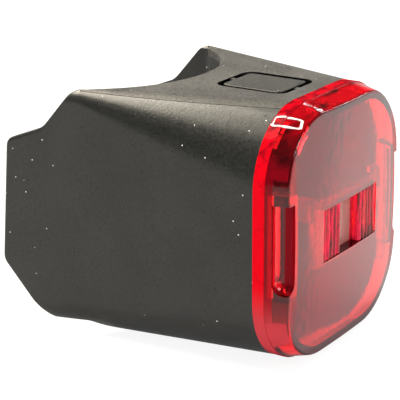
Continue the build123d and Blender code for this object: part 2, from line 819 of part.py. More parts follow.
with BuildPart() as battery_plug:
    with BuildSketch(level(lead_height - plug_height / 2, lead_middle)):
        with Locations((plug_end - plug_length / 2, 0)):
            Rectangle(plug_length, plug_width)
    extrude(amount=plug_height)
save(battery_plug, "battery_plug")

with BuildPart() as battery_socket:
    with BuildSketch(level(control_low, lead_middle)):
        with Locations((plug_end - plug_length - socket_length / 2, 0)):
            Rectangle(socket_length, socket_width)
    extrude(amount=-socket_height)
save(battery_socket, "battery_socket")

with BuildPart() as charge_port:
    with BuildSketch(level(port_mouth, port_depth)):
        SlotOverall(port_width, port_thick)
    extrude(amount=port_height)
    with BuildSketch(level(port_mouth, port_depth)):
        SlotOverall(port_width - 2 * port_wall, port_thick - 2 * port_wall)
    extrude(amount=port_height - 2 * port_wall, mode=Mode.SUBTRACT)
    with BuildSketch(level(port_mouth + tongue_recess, port_depth)):
        Rectangle(tongue_width, tongue_thick)
    extrude(amount=port_height - tongue_recess - port_wall)
save(charge_port, "charge_port")

flap_rear = hinge_depth - flap_gap
with BuildPart() as usb_flap:
    with BuildSketch(level(flap_base, (flap_front + flap_rear) / 2)) as flap_plan:
        Rectangle(2 * flap_half, flap_rear - flap_front)
        fillet(flap_plan.vertices().group_by(Axis.Y)[0], flap_round)
    extrude(amount=flap_thick)
    with BuildSketch(level(flap_base + flap_thick, port_depth)):
        inner = 2 * (port_wall + nub_fit)
        SlotOverall(port_width - inner, port_thick - inner)
    extrude(amount=port_mouth + nub_height - flap_base - flap_thick)
save(usb_flap, "usb_flap")

anchor_front = hinge_depth + flap_gap
with BuildPart() as flap_anchor:
    with BuildSketch(level(flap_base, (anchor_front + anchor_rear) / 2)) as anchor_plan:
        Rectangle(2 * flap_half, anchor_rear - anchor_front)
        fillet(anchor_plan.vertices().group_by(Axis.Y)[-1], flap_round)
    extrude(amount=flap_thick)
    with BuildSketch(level(flap_base, (anchor_front + anchor_rear) / 2)):
        with Locations((-peg_x, 0), (peg_x, 0)):
            Circle(peg_radius)
    extrude(amount=flap_thick + peg_height)
save(flap_anchor, "flap_anchor")

cradle_base = mid_z - cradle_height / 2
with BuildPart() as strap_cradle:
    with BuildSketch(level(cradle_base, saddle_centre)):
        add(ring_sector(cradle_back, pad_back, cradle_reach))
    extrude(amount=cradle_height)
    for base in (cradle_base, cradle_base + cradle_height - foot_height):
        with BuildSketch(level(base, saddle_centre)):
            add(ring_sector(saddle_radius - seat_gap, pad_back + cradle_thick / 2, standoff_reach))
        extrude(amount=foot_height)
    head_face = saddle_centre - pad_back
    with BuildSketch(facing(head_face + 1)):
        with Locations((0, cradle_screw_rise), (0, -cradle_screw_rise)):
            Circle(cradle_screw_radius + small_screw_fit)
    extrude(amount=saddle_radius, mode=Mode.SUBTRACT)
    for rise in (cradle_screw_rise, -cradle_screw_rise):
        with BuildSketch(facing(head_face)):
            with Locations((0, rise)):
                Circle(cradle_screw_head + small_screw_fit)
        with BuildSketch(facing(head_face - cradle_screw_cone)):
            with Locations((0, rise)):
                Circle(cradle_screw_radius + small_screw_fit)
        loft(mode=Mode.SUBTRACT)
save(strap_cradle, "strap_cradle")

with BuildPart() as cradle_screws:
    screw_end = saddle_centre - saddle_radius - cradle_thread + travel
    head_top = head_face - seat_gap
    for rise in (cradle_screw_rise, -cradle_screw_rise):
        with BuildSketch(facing(head_top)):
            with Locations((0, rise)):
                Circle(cradle_screw_head)
        with BuildSketch(facing(head_top - cradle_screw_cone)):
            with Locations((0, rise)):
                Circle(cradle_screw_radius)
        loft()
        with BuildSketch(facing(head_top - cradle_screw_cone)):
            with Locations((0, rise)):
                Circle(cradle_screw_radius)
        extrude(amount=head_top - cradle_screw_cone - screw_end)
    with BuildSketch(facing(head_top)):
        with Locations((0, cradle_screw_rise), (0, -cradle_screw_rise)):
            RegularPolygon(driver_radius, 6)
    extrude(amount=driver_depth, mode=Mode.SUBTRACT)
save(cradle_screws, "cradle_screws")

with BuildPart() as saddle_pad:
    with BuildSketch(level(cradle_base, saddle_centre)):
        add(ring_sector(pad_back - seat_gap, post_radius, cradle_reach))
    extrude(amount=cradle_height)
    spacing = cradle_height / (pad_grooves + 1)
    for number in range(pad_grooves):
        base = cradle_base + (number + 1) * spacing - pad_groove_width / 2
        with BuildSketch(level(base, saddle_centre)):
            add(ring_sector(post_radius + pad_groove_depth, post_radius - 1, cradle_reach + 5))
        extrude(amount=pad_groove_width, mode=Mode.SUBTRACT)
save(saddle_pad, "saddle_pad")
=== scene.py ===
# %% [markdown]
# # A rear bicycle light, dressed for its portrait
# The hard shapes come from the CAD model, which is loaded as a fixed frame: every piece already
# has its real size and its place, in metres. This notebook gives each piece the surface that its
# real material has, with painted light and shade on the lens and in narrow grooves, adds one thin
# white line on the lens as a painted highlight, and then sets the floor, the lamps and the camera.

import math

import bmesh
import bpy
from mathutils import Matrix, Vector


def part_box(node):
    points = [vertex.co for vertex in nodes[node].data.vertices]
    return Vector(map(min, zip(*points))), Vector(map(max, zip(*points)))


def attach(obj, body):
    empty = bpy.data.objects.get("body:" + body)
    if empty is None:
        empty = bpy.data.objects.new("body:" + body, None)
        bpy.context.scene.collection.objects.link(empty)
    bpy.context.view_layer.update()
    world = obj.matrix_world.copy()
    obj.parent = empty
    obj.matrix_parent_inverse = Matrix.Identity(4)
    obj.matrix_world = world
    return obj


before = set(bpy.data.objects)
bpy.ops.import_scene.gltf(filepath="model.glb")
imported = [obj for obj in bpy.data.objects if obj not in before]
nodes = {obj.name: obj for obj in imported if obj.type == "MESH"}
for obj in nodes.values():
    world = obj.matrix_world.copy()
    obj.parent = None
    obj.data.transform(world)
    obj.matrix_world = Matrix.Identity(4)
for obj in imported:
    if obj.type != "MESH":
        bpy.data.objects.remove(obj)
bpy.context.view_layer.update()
MM = 0.001

# %% [markdown]
# ## Helpers for materials
# Colours are written as they look on a screen, as sRGB hex values, and a renderer works with linear
# light, so one function turns the first into the second. Another adds a node with its settings and
# links in one call, which keeps each material short enough to read at a glance.


# %% Colour and node helpers
def linear(hex_code, alpha=1.0):
    """An sRGB hex colour as linear RGBA."""
    values = [int(hex_code[i : i + 2], 16) / 255 for i in (1, 3, 5)]
    return [v / 12.92 if v <= 0.04045 else ((v + 0.055) / 1.055) ** 2.4 for v in values] + [alpha]


def add_node(tree, kind, inputs=None, **settings):
    """Adds a node. An input is a value, a hex colour, or a socket or node to link from."""
    node = tree.nodes.new(kind)
    for name, value in settings.items():
        setattr(node, name, value)
    for name, value in (inputs or {}).items():
        if isinstance(value, bpy.types.Node):
            value = value.outputs[0]
        if isinstance(value, bpy.types.NodeSocket):
            tree.links.new(value, node.inputs[name])
        else:
            node.inputs[name].default_value = linear(value) if isinstance(value, str) else value
    return node


def start_material(name):
    """An empty material, its node tree and the socket with the row frame's coordinates."""
    material = bpy.data.materials.new(name)
    material.use_nodes = True
    tree = material.node_tree
    tree.nodes.clear()
    place = add_node(tree, "ShaderNodeTexCoord").outputs["Object"]
    return material, tree, place


def dress(material, *names):
    """Gives a material to the CAD pieces of these names."""
    for name in names:
        for material_slot in nodes[name].material_slots:
            material_slot.material = material
    print(material.name, "->", ", ".join(names))


# %% [markdown]
# ## Masks
# A mask says with a value from 0 to 1 how strongly an effect shows at each point. Masks could be
# painted on an unwrapped surface. Here they are worked out from place and direction, so they stay
# sharp from near and need no image. Most fade in along one measure, such as the height or the way
# the surface faces. A finer one is the product of several, and where effects meet, the strongest
# one counts.


# %% Helper for masks
def mask(tree, *parts, how="MULTIPLY", strength=None):
    """The product of its parts, or with MAXIMUM the strongest of them, times a strength.

    A part is a mask, or a value with the places where it fades in: (value, nothing, full).
    """
    result = None
    for part in parts:
        if isinstance(part, tuple):
            value, nothing, full = part
            ends = (nothing, full, 0.0, 1.0) if nothing < full else (full, nothing, 1.0, 0.0)
            fade = {"Value": value, **dict(zip(("From Min", "From Max", "To Min", "To Max"), ends))}
            part = add_node(tree, "ShaderNodeMapRange", fade, interpolation_type="SMOOTHSTEP")
        if result is None:
            result = part
        else:
            result = add_node(tree, "ShaderNodeMath", {0: result, 1: part}, operation=how)
    if strength is not None:
        result = add_node(tree, "ShaderNodeMath", {0: result, 1: strength}, operation="MULTIPLY")
    return result


# %% [markdown]
# ## Moulded plastic
# Most of the light is injection-moulded. The mould's steel is spark-eroded, which leaves a fine
# pebbled skin: it scatters the light a little, so reflections turn into soft sheens. The grains
# could be modelled as real dents, but there would be millions, so a bump stands in for them, with
# a colour that varies by a hair and a roughness that varies with it. A real grain is about 0.1 mm
# across, which is too fine to show here, so it is drawn as coarse as it needs to show. The same
# recipe serves every moulded piece with its own colour, gloss and grain. Two extras are there for
# the pieces that need them: pale specks of dust, and painted shade, dull black, in narrow grooves
# that little light reaches.

# %% Measures of the moulded skin
FLOW_MARK = 9 * MM  # width of the marks that the flowing melt leaves
GRAIN_SHARE = 0.7  # the grain's share in the change of colour; the flow marks have the rest
TONE_START, TONE_END = 0.38, 0.62  # where the two colours are pure, on the noise's scale
NOISE_LOW, NOISE_HIGH = 0.3, 0.7  # nearly all values of a noise lie between these
DUST_SPACING = 1.7 * MM  # size of the cells that hold at most one speck each
DUST_RADIUS = 0.065  # as a share of a cell, so 0.11 mm
# Where the painted black shade of a groove starts and where it is full, by the share of sky seen.
OPEN_SKY, SHUT_SKY = 0.92, 0.72  # share of the sky where a groove starts, and where it is black
print("specks of", round(2 * DUST_RADIUS * DUST_SPACING / MM, 2), "mm")


# %% Dust and painted shade in grooves
def with_dust(tree, place, colour, share):
    """The colour with a pale speck of dust in this share of small cells."""
    cells = add_node(
        tree,
        "ShaderNodeTexVoronoi",
        {"Vector": place, "Scale": 1 / DUST_SPACING, "Randomness": 1.0},
    ).outputs
    lot = add_node(tree, "ShaderNodeSeparateColor", {"Color": cells["Color"]}).outputs["Red"]
    drawn = add_node(tree, "ShaderNodeMath", {0: lot, 1: 1.0 - share}, operation="GREATER_THAN")
    near = {0: cells["Distance"], 1: DUST_RADIUS}
    dot = add_node(tree, "ShaderNodeMath", near, operation="LESS_THAN")
    inputs = {"Fac": mask(tree, drawn, dot), "Color1": colour, "Color2": "#e4e2dc"}
    return add_node(tree, "ShaderNodeMixRGB", inputs)


def with_painted_groove_shade(tree, shader, reach_mm):
    """The shader with painted shade: dull black where walls closer than the reach shut out the sky.
    """
    sky = add_node(tree, "ShaderNodeAmbientOcclusion", {"Distance": reach_mm * MM}).outputs["AO"]
    # Painted shade: a dull black diffuse mixed in where the walls shut out the sky.
    painted_shade_black = add_node(tree, "ShaderNodeBsdfDiffuse", {"Color": "#0c0c0c"})
    inputs = {0: mask(tree, (sky, OPEN_SKY, SHUT_SKY)), 1: shader, 2: painted_shade_black}
    return add_node(tree, "ShaderNodeMixShader", inputs)


# %% Recipe for moulded plastic
def moulded(name, dark_hex, light_hex, roughness, grain_mm, depth_mm, dust=0.0, groove_mm=0.0):
    """Moulded plastic with a pebbled skin, slight flow marks and, if asked, the two extras."""
    material, tree, place = start_material(name)
    wide = {"Vector": place, "Scale": 1 / FLOW_MARK, "Detail": 3.0}
    flow = add_node(tree, "ShaderNodeTexNoise", wide)
    pebbled = {"Vector": place, "Scale": 1 / (grain_mm * MM), "Detail": 4.0, "Roughness": 0.6}
    grain = add_node(tree, "ShaderNodeTexNoise", pebbled)
    both = {"Factor": GRAIN_SHARE, "A": flow, "B": grain}
    mottle = add_node(tree, "ShaderNodeMix", both, data_type="FLOAT")
    tone = add_node(tree, "ShaderNodeValToRGB", {"Fac": mottle})
    dark_end, light_end = tone.color_ramp.elements
    dark_end.position, dark_end.color = TONE_START, linear(dark_hex)
    light_end.position, light_end.color = TONE_END, linear(light_hex)
    sheen = {
        "Value": grain,
        "From Min": NOISE_LOW,
        "From Max": NOISE_HIGH,
        "To Min": roughness - 0.04,
        "To Max": roughness + 0.05,
    }
    dents = {"Strength": 1.0, "Distance": depth_mm * MM, "Height": grain}
    plastic = {
        "Base Color": with_dust(tree, place, tone, dust) if dust else tone,
        "Roughness": add_node(tree, "ShaderNodeMapRange", sheen),
        "IOR": 1.5,
        "Normal": add_node(tree, "ShaderNodeBump", dents),
    }
    shader = add_node(tree, "ShaderNodeBsdfPrincipled", plastic)
    # Painted shade in grooves, for the pieces that ask for it.
    if groove_mm:
        shader = with_painted_groove_shade(tree, shader, groove_mm)
    add_node(tree, "ShaderNodeOutputMaterial", {"Surface": shader})
    return material


# %% [markdown]
# ## Shell
# The shell is black ABS with a matte spark-eroded skin. What the eye reads as its charcoal tone is
# mostly the white floor and the lamps in a soft sheen. A lighter pigment could give that tone too,
# but it would be flat, so the pigment is kept dark and the roughness does the work. A few pale
# specks of dust cling to it.

# %% Shell of matte ABS
dress(moulded("matte_black_abs", "#1b1c1b", "#292a28", 0.31, 0.4, 0.022, dust=0.4), "housing")

# %% [markdown]
# ## Top panel and button
# The top panel is moulded with a deeper and duller texture, so it looks lighter and grainier than
# the shell beside it. The button's pigment is darker and its texture a little shallower. The groove
# round the button is narrow and deep, and reads as a black line. It could be left to the lamps, but
# the dull skin would still look grey in it, so the recipe paints black shade into what the walls
# shut in.

# %% Top panel and button of textured ABS
textured = {
    "top_panel": ("textured_black_abs", "#2b2a27", "#5d5b56", 0.46, 0.34, 0.06),
    "power_button": ("fine_textured_black_abs", "#171615", "#45433f", 0.46, 0.34, 0.05),
}
# Painted black shade in the grooves round the button, within 1.5 mm of a wall.
for piece, recipe in textured.items():
    dress(moulded(*recipe, dust=0.3, groove_mm=1.5), piece)

# %% [markdown]
# ## Red lens
# The lens is clear red polycarbonate, polished all over, with a hard coat on its face. Its IOR of
# 1.585 and the coat's reflections lay a pale veil over the face, which is seen at a slant. The
# light that the plastic scatters inside is painted on as a glow: the band at the joint has a
# painted glow in pure red, the upper wall a painted glow in streaks drawn by a swirling noise, and
# the rest stays deep and clear. That light could be followed through a cloudy solid, but it would
# take very many samples, so the lens mixes two skins: a polished clear one and, where the light is
# painted, a matt one with a faint emission glow and painted light and shade in its tone.


# %% Clear red polycarbonate and its painted glow
def swirl_noise(tree, place, size_mm, detail, stretch=(1, 1, 1)):
    """Swirling noise of a real size, drawn out along an axis if asked; waves and painted light."""
    drawn_out = add_node(tree, "ShaderNodeMapping", {"Vector": place, "Scale": stretch})
    swirled = {"Vector": drawn_out, "Scale": 1 / (size_mm * MM), "Detail": detail}
    return add_node(tree, "ShaderNodeTexNoise", swirled)


def clear_red(tree, hex_code, roughness, waves, coat=0.0):
    """Polished clear red plastic with the faint waves of the mould's flow, and a coat if asked."""
    wavy = {"Strength": 0.6, "Distance": 0.06 * MM, "Height": waves}
    plastic = {
        "Base Color": hex_code,
        "Roughness": roughness,
        "IOR": 1.585,
        "Transmission Weight": 1.0,
        "Coat Weight": coat,
        "Coat Roughness": 0.01,
        "Coat IOR": 1.65,
        "Normal": add_node(tree, "ShaderNodeBump", wavy),
    }
    return add_node(tree, "ShaderNodeBsdfPrincipled", plastic)


def red_with_painted_glow(tree, painted_light, deep, painted_bright, glow):
    """The same plastic with painted light: matt, a faint emission glow, painted deep to bright
    tone.
    """
    tone = add_node(tree, "ShaderNodeMixRGB", {"Fac": painted_light, "Color1": deep, "Color2": painted_bright})
    plastic = {
        "Base Color": tone,
        "Roughness": 0.6,
        "Specular IOR Level": 0.0,
        "Emission Color": tone,
        "Emission Strength": glow,
    }
    return add_node(tree, "ShaderNodeBsdfPrincipled", plastic)


# %% [markdown]
# The lens's masks need to know where a point lies and which way the surface faces there. Distances
# are counted from the joint with the shell towards the face. The side walls lean inwards by 15.5
# degrees on that way, so where a wall stands across depends on the distance, and how deep a point
# lies inside that plane tells the scoops from the wall.

# %% Measures of the lens
MID_HEIGHT = 21 * MM
WALL_LEAN = 0.277  # mm inwards for each mm ahead
WALL_HALF = 19.6 * MM  # from the middle to the wall's plane, where it meets the joint
joint_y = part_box("housing")[0][1]
joint_middle = (0, joint_y, MID_HEIGHT)
print("joint at", round(joint_y / MM, 2), "mm, lean", round(math.degrees(math.atan(WALL_LEAN)), 1))


def ahead(distance_mm):
    """The Y of the plane that lies this far ahead of the joint."""
    return joint_y - distance_mm * MM


# %% Where a point of the lens lies, and which way it faces
lens_pc, tree, place = start_material("clear_red_polycarbonate")
where = add_node(tree, "ShaderNodeSeparateXYZ", {"Vector": place}).outputs
across = add_node(tree, "ShaderNodeMath", {0: where["X"]}, operation="ABSOLUTE")
plane = {0: where["Y"], 1: WALL_LEAN, 2: WALL_HALF - WALL_LEAN * joint_y}
wall_across = add_node(tree, "ShaderNodeMath", plane, operation="MULTIPLY_ADD")
inset = add_node(tree, "ShaderNodeMath", {0: wall_across, 1: across}, operation="SUBTRACT")

facing = add_node(tree, "ShaderNodeTexCoord").outputs["Normal"]
turn = add_node(tree, "ShaderNodeSeparateXYZ", {"Vector": facing}).outputs
sideways = add_node(tree, "ShaderNodeMath", {0: where["X"], 1: turn["X"]}, operation="MULTIPLY")
from_middle = {0: place, 1: joint_middle}
arm = add_node(tree, "ShaderNodeVectorMath", from_middle, operation="SUBTRACT")
arm_and_facing = {0: arm, 1: facing}
outward = add_node(tree, "ShaderNodeVectorMath", arm_and_facing, operation="DOT_PRODUCT")
from_inside = add_node(tree, "ShaderNodeNewGeometry").outputs["Backfacing"]
outside = add_node(tree, "ShaderNodeMath", {0: 1.0, 1: from_inside}, operation="SUBTRACT")
print("nodes that measure:", len(tree.nodes))

# %% [markdown]
# The outer skin gets a painted glow in these places: on the band of 2 mm at the joint, on the side
# wall's root just ahead of it, on the upper wall in streaks, low down on the side wall, and on the
# shoulders of the scoops.

# %% Painted glow on the walls
swirls = swirl_noise(tree, place, 1.7, 4.0)
streaks = swirl_noise(tree, place, 2.4, 3.0, (0.35, 1, 1))
# Masks for the painted glow, which stands in for light scattered inside the plastic.
side_wall = mask(tree, (sideways, 13 * MM, 16 * MM))
low_wall = mask(tree, (where["Z"], 16 * MM, 8 * MM))
band = mask(tree, (where["Y"], ahead(2.1), ahead(1.95)), strength=0.97)
root = mask(tree, (where["Y"], ahead(3.3), ahead(3.1)), side_wall, strength=0.75)
top_wall = mask(tree, (turn["Z"], -0.15, 0.95), (streaks, 0.34, 0.62), strength=0.5)
low_side = mask(tree, low_wall, side_wall, strength=0.3)
outer_part = mask(tree, (across, 15.5 * MM, 16.5 * MM))
shoulder = mask(tree, (turn["Y"], -0.22, -0.08), outer_part, strength=0.6)
print("nodes with the walls:", len(tree.nodes))

# %% [markdown]
# Each scoop is a rounded hollow in the side wall. Its floor gets a painted deep red glow, and its
# flank that faces ahead only part of it. The hollows are in the mesh, so a mask needs only to find
# them: a point belongs to one if it lies inside the wall's plane.

# %% Painted glow in the scoops
hollow = mask(
    tree,
    (inset, 0.15 * MM, 0.35 * MM),
    outer_part,
    (turn["Z"], 0.5, 0.3),
    (where["Y"], ahead(7.4), ahead(7.2)),
)
hollow_floor = mask(tree, (turn["Y"], -0.55, -0.35), strength=0.9)
hollow_flank = mask(tree, (turn["Y"], -0.7, -0.8), strength=0.35)
scoop = mask(tree, mask(tree, hollow_floor, hollow_flank, how="MAXIMUM"), hollow)
print("nodes with the scoops:", len(tree.nodes))

# %% [markdown]
# The face has a trace of the same painted glow, more of it low down and towards its near edge.
# Only the outer skin has the painted glow in full. Seen from inside the plastic it is faint, apart
# from the far side wall, which is painted deep red where it is seen through the lens.

# %% How much painted glow each point gets
INSIDE_SHARE = 0.15
face = mask(tree, (turn["Y"], -0.7, -0.95))
low_face = mask(tree, (where["Z"], 34 * MM, 8 * MM), strength=0.13)
near_face = mask(tree, (where["X"], 0.0, -11 * MM), strength=0.14)
front = mask(tree, face, mask(tree, low_face, near_face, how="MAXIMUM"))
walls = mask(tree, band, root, top_wall, low_side, shoulder, scoop, how="MAXIMUM")
outer_walls = mask(tree, walls, (outward.outputs["Value"], 0.0, 2 * MM))
outer_skin = mask(tree, outer_walls, front, how="MAXIMUM")
seen = add_node(tree, "ShaderNodeMath", {0: outside, 1: INSIDE_SHARE}, operation="MAXIMUM")
# Painted deep red on the far side wall, where it is seen from inside the plastic.
far_wall = mask(tree, (sideways, -16 * MM, -18 * MM), from_inside, strength=0.45)
painted_glow_share = mask(tree, mask(tree, outer_skin, seen), far_wall, how="MAXIMUM")
print("nodes with the face:", len(tree.nodes))

# %% [markdown]
# The painted glow also paints light and shade into its tone: where little light arrives it is deep
# red. It is painted bright on the sides of the band and in blotches along the band's top, on the
# upper wall, on the face, and low down, where it is paler.

# %% How bright the painted glow is
# Painted bright blotches along the band's top, from a swirling noise.
painted_light_blotches = mask(tree, (swirls, 0.3, 0.68))
turn_less_painted_blotches = {0: turn["Z"], 1: painted_light_blotches}
upward = add_node(tree, "ShaderNodeMath", turn_less_painted_blotches, operation="SUBTRACT")
on_band = mask(tree, band, (upward, 0.75, -0.25))
on_top = mask(tree, (where["Y"], ahead(1.9), ahead(2.1)), (turn["Z"], 0.55, 1.0))
painted_light = mask(tree, on_band, on_top, face, low_wall, how="MAXIMUM")
# The painted bright tone of the glow, paler low down.
painted_paler_below = {"Fac": low_wall, "Color1": "#cd0718", "Color2": "#b33a42"}
painted_bright = add_node(tree, "ShaderNodeMixRGB", painted_paler_below)
print("nodes with the tones:", len(tree.nodes))

# %% Lens
clear = clear_red(tree, "#ff1420", 0.0, swirls, coat=mask(tree, face, outside))
# Painted glow: matt red with a faint emission, mixed in by the painted glow share.
painted_glow_skin = red_with_painted_glow(tree, painted_light, "#760714", painted_bright, 0.1)
lens_skin = add_node(tree, "ShaderNodeMixShader", {0: painted_glow_share, 1: clear, 2: painted_glow_skin})
add_node(tree, "ShaderNodeOutputMaterial", {"Surface": lens_skin})
dress(lens_pc, "lens")

# %% [markdown]
# ## Plate on the lens
# On the lens's near upper corner sits a small bare plate, whose edges catch the soft box: a thin
# white line, a painted highlight drawn as a four-sided ring a little over 4 mm long. It could be a
# mask in the lens's material, but a line this thin needs crisp edges on a curved corner, so it is a
# mesh of its own. Its points are laid on the lens itself, so that the line follows the wall.

# %% Measures of the painted highlight line, in mm and degrees
CORNER_X, CORNER_Z, CORNER_RADIUS = -7.05, 29.8, 12.0
LEAN_START = 2.0  # ahead of the joint
HALF_WIDTH, PROUD, SUNK = 0.2, 0.12, -0.05
plate_corners = [(61.5, 0.2), (66.0, 4.2), (57.4, 4.7), (52.8, 0.4)]  # angle, distance ahead
STEPS = 12  # points on each side
TRIM = 0.1  # of a side, left out at each of its ends to round the plate's corners
lens_object = nodes["lens"]


def on_corner(angle, distance, aside=Vector((0, 0, 0)), lift=0.0):
    """A point on the lens's upper corner, moved aside and lifted off the wall (mm)."""
    reach = CORNER_RADIUS - max(0.0, distance - LEAN_START) * WALL_LEAN
    x, z = CORNER_X - reach * math.cos(angle), CORNER_Z + reach * math.sin(angle)
    guess = Vector((x, joint_y / MM - distance, z))
    _, spot_on_lens, normal, _ = lens_object.closest_point_on_mesh((guess + aside) * MM)
    return spot_on_lens + normal * lift * MM


# %% Points round the plate
line_points = []
for corner, following in zip(plate_corners, plate_corners[1:] + plate_corners[:1]):
    for step in range(STEPS):
        share = TRIM + (1 - 2 * TRIM) * step / (STEPS - 1)
        angle, distance = (a + (b - a) * share for a, b in zip(corner, following))
        line_points.append((math.radians(angle), distance))
middle_angle = sum(angle for angle, _ in line_points) / len(line_points)
middle_distance = sum(distance for _, distance in line_points) / len(line_points)
centre = on_corner(middle_angle, middle_distance)
print("plate line:", len(line_points), "points round", [round(v / MM, 2) for v in centre])

# %% Ring of painted white highlight
ring = bmesh.new()
sections = []
profile = ((-HALF_WIDTH, SUNK), (-HALF_WIDTH, PROUD), (HALF_WIDTH, PROUD), (HALF_WIDTH, SUNK))
for angle, distance in line_points:
    away = (on_corner(angle, distance) - centre).normalized()
    places = [on_corner(angle, distance, away * offset, lift) for offset, lift in profile]
    sections.append([ring.verts.new(corner) for corner in places])
for section, following in zip(sections, sections[1:] + sections[:1]):
    for k in range(len(profile)):
        after = (k + 1) % len(profile)
        ring.faces.new((section[k], section[after], following[after], following[k]))
bmesh.ops.recalc_face_normals(ring, faces=ring.faces)
plate_mesh = bpy.data.meshes.new("lens_plate_line")
ring.to_mesh(plate_mesh)
ring.free()
plate_line = bpy.data.objects.new("lens_plate_line", plate_mesh)
bpy.context.scene.collection.objects.link(plate_line)
# The ring is white: a painted highlight of the plate's edges.
plate_mesh.materials.append(moulded("white_painted_edge_highlight", "#e9e4e2", "#fbf8f6", 0.35, 0.3, 0.004))
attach(plate_line, "shell")
print("plate line:", len(plate_mesh.polygons), "faces")

# %% [markdown]
# ## Fluted window
# The window's flutes are prisms of the same plastic. They catch light from all round and throw it
# back in drawn-out streaks, pink where they are bright and deep red between, and fainter at the far
# end. The prisms are in the mesh, but light that turns so often in them would take very many
# samples, so the recipe paints the streaks along the flutes as painted highlights with a faint
# glow.

# %% Flutes of the window
optic_pc, tree, place = start_material("fluted_red_polycarbonate")
where = add_node(tree, "ShaderNodeSeparateXYZ", {"Vector": place}).outputs
streaks = swirl_noise(tree, place, 0.55, 3.0, (1, 1, 0.16))
# Painted highlight streaks along the flutes, fainter at the far end.
painted_streak_shine = mask(tree, (streaks, 0.36, 0.62), strength=0.78)
far_end = mask(tree, (where["X"], 3.4 * MM, 5.0 * MM), strength=0.5)
painted_bright = add_node(tree, "ShaderNodeMath", {0: painted_streak_shine, 1: far_end}, operation="SUBTRACT")
clear = clear_red(tree, "#ee2034", 0.02, streaks)
painted_glow_skin = red_with_painted_glow(tree, painted_bright, "#b01436", "#f22f52", 0.17)
fluted = add_node(tree, "ShaderNodeMixShader", {0: painted_bright, 1: clear, 2: painted_glow_skin})
print("nodes of the flutes:", len(tree.nodes))

# %% [markdown]
# Between the two fluted fields runs a smooth strip, 6 mm wide and slightly milky. It is part of the
# same piece, so a mask changes the skin where the strip is.

# %% Milky strip and window
STRIP_HALF = 3.0 * MM
across = add_node(tree, "ShaderNodeMath", {0: where["X"]}, operation="ABSOLUTE")
strip = mask(
    tree,
    (across, STRIP_HALF + 0.06 * MM, STRIP_HALF),
    (where["Y"], ahead(4.97), ahead(4.93)),
    strength=0.9,
)
milk = {"Base Color": "#a87f77", "Roughness": 0.15, "IOR": 1.585, "Coat Weight": 0.3}
milky = add_node(tree, "ShaderNodeBsdfPrincipled", milk)
window_skin = add_node(tree, "ShaderNodeMixShader", {0: strip, 1: fluted, 2: milky})
add_node(tree, "ShaderNodeOutputMaterial", {"Surface": window_skin})
dress(optic_pc, "fluted_optic")

# %% [markdown]
# ## Inner frame, reflector and lamps
# Behind the lens a dull black ABS frame hides the inside, and a glossy white reflector throws the
# lamps' light forward. The lamps are small white bodies filled with amber gel, smooth and a little
# glossy. All are moulded or cast, so the recipe for moulded plastic serves them: the duller the
# skin, the higher its roughness.

# %% Inner frame, reflector, lamps
behind_the_lens = {
    "inner_frame": ("dull_black_abs", "#1b1712", "#221d17", 0.75, 0.4, 0.02),
    "led_reflector": ("glossy_white_abs", "#e6e4df", "#f2f0ea", 0.18, 0.8, 0.004),
    "leds": ("amber_lamp_gel", "#d9a441", "#e8bd62", 0.12, 0.6, 0.004),
}
for piece, recipe in behind_the_lens.items():
    dress(moulded(*recipe), piece)

# %% [markdown]
# ## Boards
# Circuit boards are glass cloth and epoxy under a thin coloured solder mask. The mask is glossy,
# and copper tracks under it show as slightly lighter raised lines. Real tracks could be drawn one
# by one, but the boards are hidden, so a brick pattern draws fine lines about 0.14 mm wide.

# %% Recipe for circuit boards
TRACK_PATTERN = 4 * MM  # its rows are 0.4 of this, so tracks lie 1.6 mm apart
GLASS_CLOTH = 0.5 * MM  # spacing of the cloth's threads


def solder_mask(name, hex_code, track_hex):
    """Glossy solder mask with faint copper tracks under it."""
    material, tree, place = start_material(name)
    pattern = {
        "Vector": place,
        "Scale": 1 / TRACK_PATTERN,
        "Color1": hex_code,
        "Color2": hex_code,
        "Mortar": track_hex,
        "Mortar Size": 0.035,
        "Mortar Smooth": 0.3,
        "Brick Width": 0.9,
        "Row Height": 0.4,
    }
    tracks = add_node(tree, "ShaderNodeTexBrick", pattern).outputs
    cloth = {"Vector": place, "Scale": 1 / GLASS_CLOTH, "Detail": 2.0}
    weave = add_node(tree, "ShaderNodeTexNoise", cloth)
    gloss = {"Value": weave, "To Min": 0.22, "To Max": 0.38}
    raised = {"Strength": 0.6, "Distance": 0.03 * MM, "Height": tracks["Fac"]}
    epoxy = {
        "Base Color": tracks["Color"],
        "Roughness": add_node(tree, "ShaderNodeMapRange", gloss),
        "IOR": 1.55,
        "Normal": add_node(tree, "ShaderNodeBump", raised),
    }
    shader = add_node(tree, "ShaderNodeBsdfPrincipled", epoxy)
    add_node(tree, "ShaderNodeOutputMaterial", {"Surface": shader})
    return material


dress(solder_mask("white_solder_mask", "#dcdad2", "#c9c5b6"), "led_board")
dress(solder_mask("green_solder_mask", "#0f4a24", "#2a6b3c"), "control_board", "cell_guard")

# %% [markdown]
# ## Parts on the boards
# Chips are moulded in filled epoxy with a very fine, half matt skin. The header, the plunger, the
# plug and the socket are nylon, which is smoother. They differ from the shell only in colour, gloss
# and grain, so the same recipe makes them.

# %% Chips, header, plunger, plug and socket
chip_epoxy = moulded("chip_epoxy", "#151516", "#1c1c1d", 0.45, 0.12, 0.006)
dress(chip_epoxy, "board_chips")
nylon_black = moulded("black_nylon", "#101010", "#171716", 0.4, 0.3, 0.006)
dress(nylon_black, "board_header", "switch_plunger")
nylon_ivory = moulded("ivory_nylon", "#cfcabb", "#dad6c8", 0.38, 0.4, 0.006)
dress(nylon_ivory, "battery_plug", "battery_socket")

